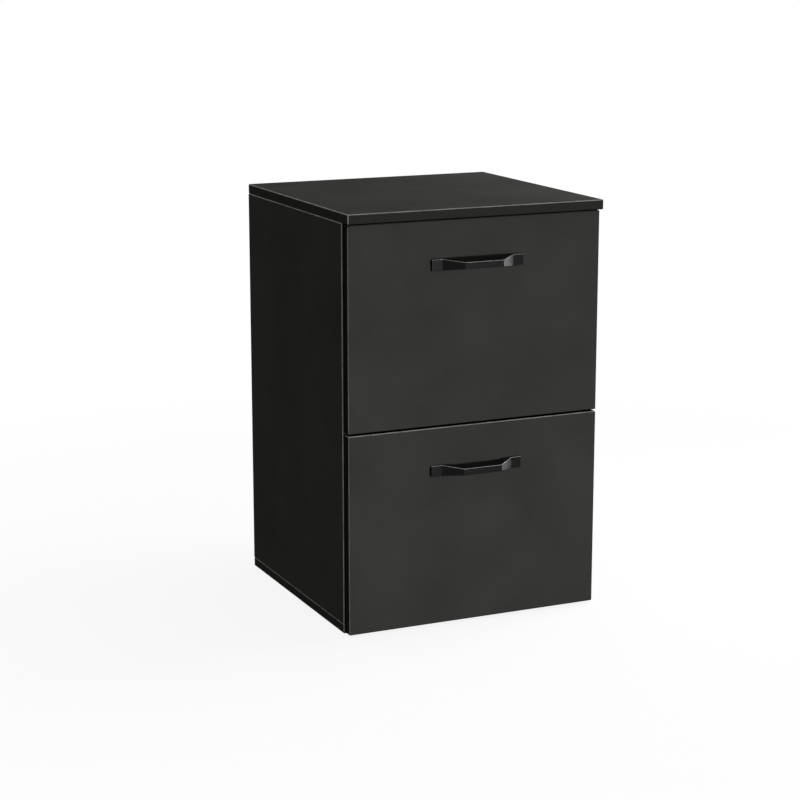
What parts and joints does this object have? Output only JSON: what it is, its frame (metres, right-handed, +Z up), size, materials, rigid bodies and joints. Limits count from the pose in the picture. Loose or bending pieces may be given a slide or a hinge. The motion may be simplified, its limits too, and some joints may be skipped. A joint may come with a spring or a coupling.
{
  "type": "filing cabinet",
  "caption": "Black laminated-board filing cabinet with stacked deep drawers on full-extension ball slides, bow handles and inner rails for hanging files.",
  "frame": {"origin": "on the floor, under the middle of the whole object with its handles", "axes": "+X to the right of a person facing the fronts, +Y to the back, +Z up"},
  "size_m": [0.445, 0.4524, 0.678],
  "materials": {
    "black_laminate": "matt laminate with a fine grain",
    "drawer_board": "foil wrapped board",
    "thin_board": "lacquered hardboard",
    "black_metal": "satin black",
    "zinc_steel": "bright zinc",
    "black_plastic": "moulded",
    "cage_plastic": "moulded",
    "clear_rubber": "soft",
    "dowel_beech": "raw beech"
  },
  "bodies": {
    "carcass": {"top_panel": "black_laminate", "bottom_panel": "black_laminate", "left_side_panel": "black_laminate", "right_side_panel": "black_laminate", "front_stretcher": "black_laminate", "back_panel": "thin_board", "carcass_dowels": "dowel_beech", "floor_glides": "black_plastic", "outer_rail_screws": "zinc_steel", "upper_left_outer_rail": "zinc_steel", "upper_right_outer_rail": "zinc_steel", "lower_left_outer_rail": "zinc_steel", "lower_right_outer_rail": "zinc_steel"},
    "upper_drawer": {"upper_drawer_front": "black_laminate", "upper_drawer_left_side": "drawer_board", "upper_drawer_right_side": "drawer_board", "upper_drawer_back": "drawer_board", "upper_drawer_bottom": "thin_board", "upper_handle": "black_metal", "upper_handle_screws": "zinc_steel", "upper_front_bumpers": "clear_rubber", "upper_inner_rail_screws": "zinc_steel", "upper_left_inner_rail": "zinc_steel", "upper_right_inner_rail": "zinc_steel", "upper_left_hanging_rail": "zinc_steel", "upper_right_hanging_rail": "zinc_steel", "upper_hanging_rail_brackets": "black_plastic"},
    "upper_middle_rails": {"upper_left_middle_rail": "zinc_steel", "upper_right_middle_rail": "zinc_steel"},
    "upper_outer_cages": {"upper_outer_ball_cages": "cage_plastic"},
    "upper_inner_cages": {"upper_inner_ball_cages": "cage_plastic"},
    "lower_drawer": {"lower_drawer_front": "black_laminate", "lower_drawer_left_side": "drawer_board", "lower_drawer_right_side": "drawer_board", "lower_drawer_back": "drawer_board", "lower_drawer_bottom": "thin_board", "lower_handle": "black_metal", "lower_handle_screws": "zinc_steel", "lower_front_bumpers": "clear_rubber", "lower_inner_rail_screws": "zinc_steel", "lower_left_inner_rail": "zinc_steel", "lower_right_inner_rail": "zinc_steel", "lower_left_hanging_rail": "zinc_steel", "lower_right_hanging_rail": "zinc_steel", "lower_hanging_rail_brackets": "black_plastic"},
    "lower_middle_rails": {"lower_left_middle_rail": "zinc_steel", "lower_right_middle_rail": "zinc_steel"},
    "lower_outer_cages": {"lower_outer_ball_cages": "cage_plastic"},
    "lower_inner_cages": {"lower_inner_ball_cages": "cage_plastic"}
  },
  "joints": [
    {"name": "upper_drawer_slide", "type": "slide", "parent": "carcass", "child": "upper_drawer", "axis": [0, -1, 0], "range_m": [0, 0.35]},
    {"name": "upper_middle_rails_slide", "type": "slide", "parent": "carcass", "child": "upper_middle_rails", "axis": [0, -1, 0], "range_m": [0, 0.175]},
    {"name": "upper_outer_cages_slide", "type": "slide", "parent": "carcass", "child": "upper_outer_cages", "axis": [0, -1, 0], "range_m": [0, 0.0875]},
    {"name": "upper_inner_cages_slide", "type": "slide", "parent": "carcass", "child": "upper_inner_cages", "axis": [0, -1, 0], "range_m": [0, 0.2625]},
    {"name": "lower_drawer_slide", "type": "slide", "parent": "carcass", "child": "lower_drawer", "axis": [0, -1, 0], "range_m": [0, 0.35]},
    {"name": "lower_middle_rails_slide", "type": "slide", "parent": "carcass", "child": "lower_middle_rails", "axis": [0, -1, 0], "range_m": [0, 0.175]},
    {"name": "lower_outer_cages_slide", "type": "slide", "parent": "carcass", "child": "lower_outer_cages", "axis": [0, -1, 0], "range_m": [0, 0.0875]},
    {"name": "lower_inner_cages_slide", "type": "slide", "parent": "carcass", "child": "lower_inner_cages", "axis": [0, -1, 0], "range_m": [0, 0.2625]}
  ],
  "couplings": [
    {"joint": "upper_middle_rails_slide", "follows": "upper_drawer_slide", "ratio": 0.5},
    {"joint": "upper_outer_cages_slide", "follows": "upper_drawer_slide", "ratio": 0.25},
    {"joint": "upper_inner_cages_slide", "follows": "upper_drawer_slide", "ratio": 0.75},
    {"joint": "lower_middle_rails_slide", "follows": "lower_drawer_slide", "ratio": 0.5},
    {"joint": "lower_outer_cages_slide", "follows": "lower_drawer_slide", "ratio": 0.25},
    {"joint": "lower_inner_cages_slide", "follows": "lower_drawer_slide", "ratio": 0.75}
  ]
}
